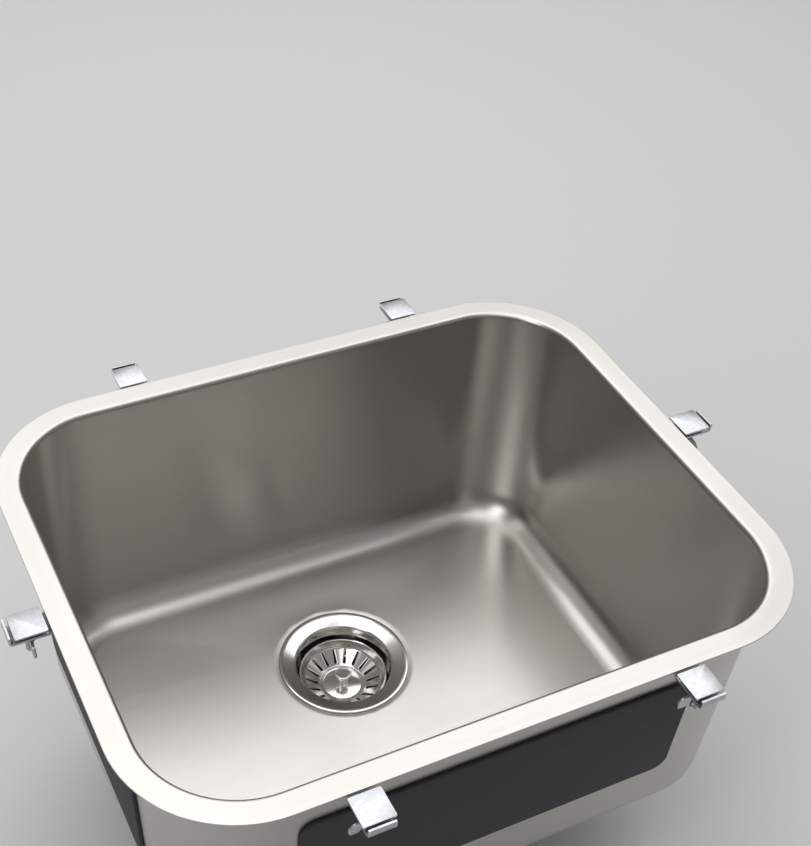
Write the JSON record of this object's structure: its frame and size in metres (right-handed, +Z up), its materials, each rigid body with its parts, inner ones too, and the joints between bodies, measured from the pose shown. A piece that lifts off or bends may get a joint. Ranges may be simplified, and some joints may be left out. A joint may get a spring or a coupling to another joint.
{
  "type": "undermount kitchen sink",
  "caption": "Pressed steel undermount sink bowl with rounded corners, sound pads, fixing clips and a waste with a lift-out slotted basket.",
  "frame": {"origin": "centre of the bowl's opening on the top face of its flange, which presses on the worktop's underside", "axes": "+X along the long side, +Y towards the wall behind the sink, +Z up out of the bowl"},
  "size_m": [0.588, 0.49, 0.3422],
  "materials": {
    "satin_steel": "satin, fine straight grain",
    "polished_steel": "polished",
    "plain_steel": "as turned",
    "zinc_steel": "zinc plated",
    "pad_rubber": "matt, fine grain",
    "gasket_rubber": "smooth moulded",
    "foam": "closed-cell foam",
    "waste_plastic": "moulded, slight sheen",
    "nylon": "natural nylon",
    "insert_brass": "turned"
  },
  "bodies": {
    "sink": {"bowl": "satin_steel", "waste_flange": "polished_steel", "centre_screw": "plain_steel", "stud_plates": "zinc_steel", "clip_brackets": "zinc_steel", "clip_washers": "zinc_steel", "wing_nuts": "zinc_steel", "floor_sound_pad": "pad_rubber", "right_sound_pad": "pad_rubber", "back_sound_pad": "pad_rubber", "left_sound_pad": "pad_rubber", "front_sound_pad": "pad_rubber", "under_gasket": "gasket_rubber", "flange_gasket": "foam", "waste_body": "waste_plastic", "body_insert": "insert_brass"},
    "collar": {"stem_collar": "nylon"},
    "basket": {"basket": "polished_steel", "basket_knob": "polished_steel", "basket_stem": "plain_steel", "basket_seal": "gasket_rubber", "seal_washer": "plain_steel", "stem_nut": "plain_steel"}
  },
  "joints": [
    {"name": "basket_lift", "type": "slide", "parent": "sink", "child": "collar", "axis": [0, 0, 1], "range_m": [0, 0.3]},
    {"name": "basket_turn", "type": "hinge", "parent": "collar", "child": "basket", "pos_m": [0, 0.053, -0.25], "axis": [0, 0, 1], "continuous": true}
  ]
}
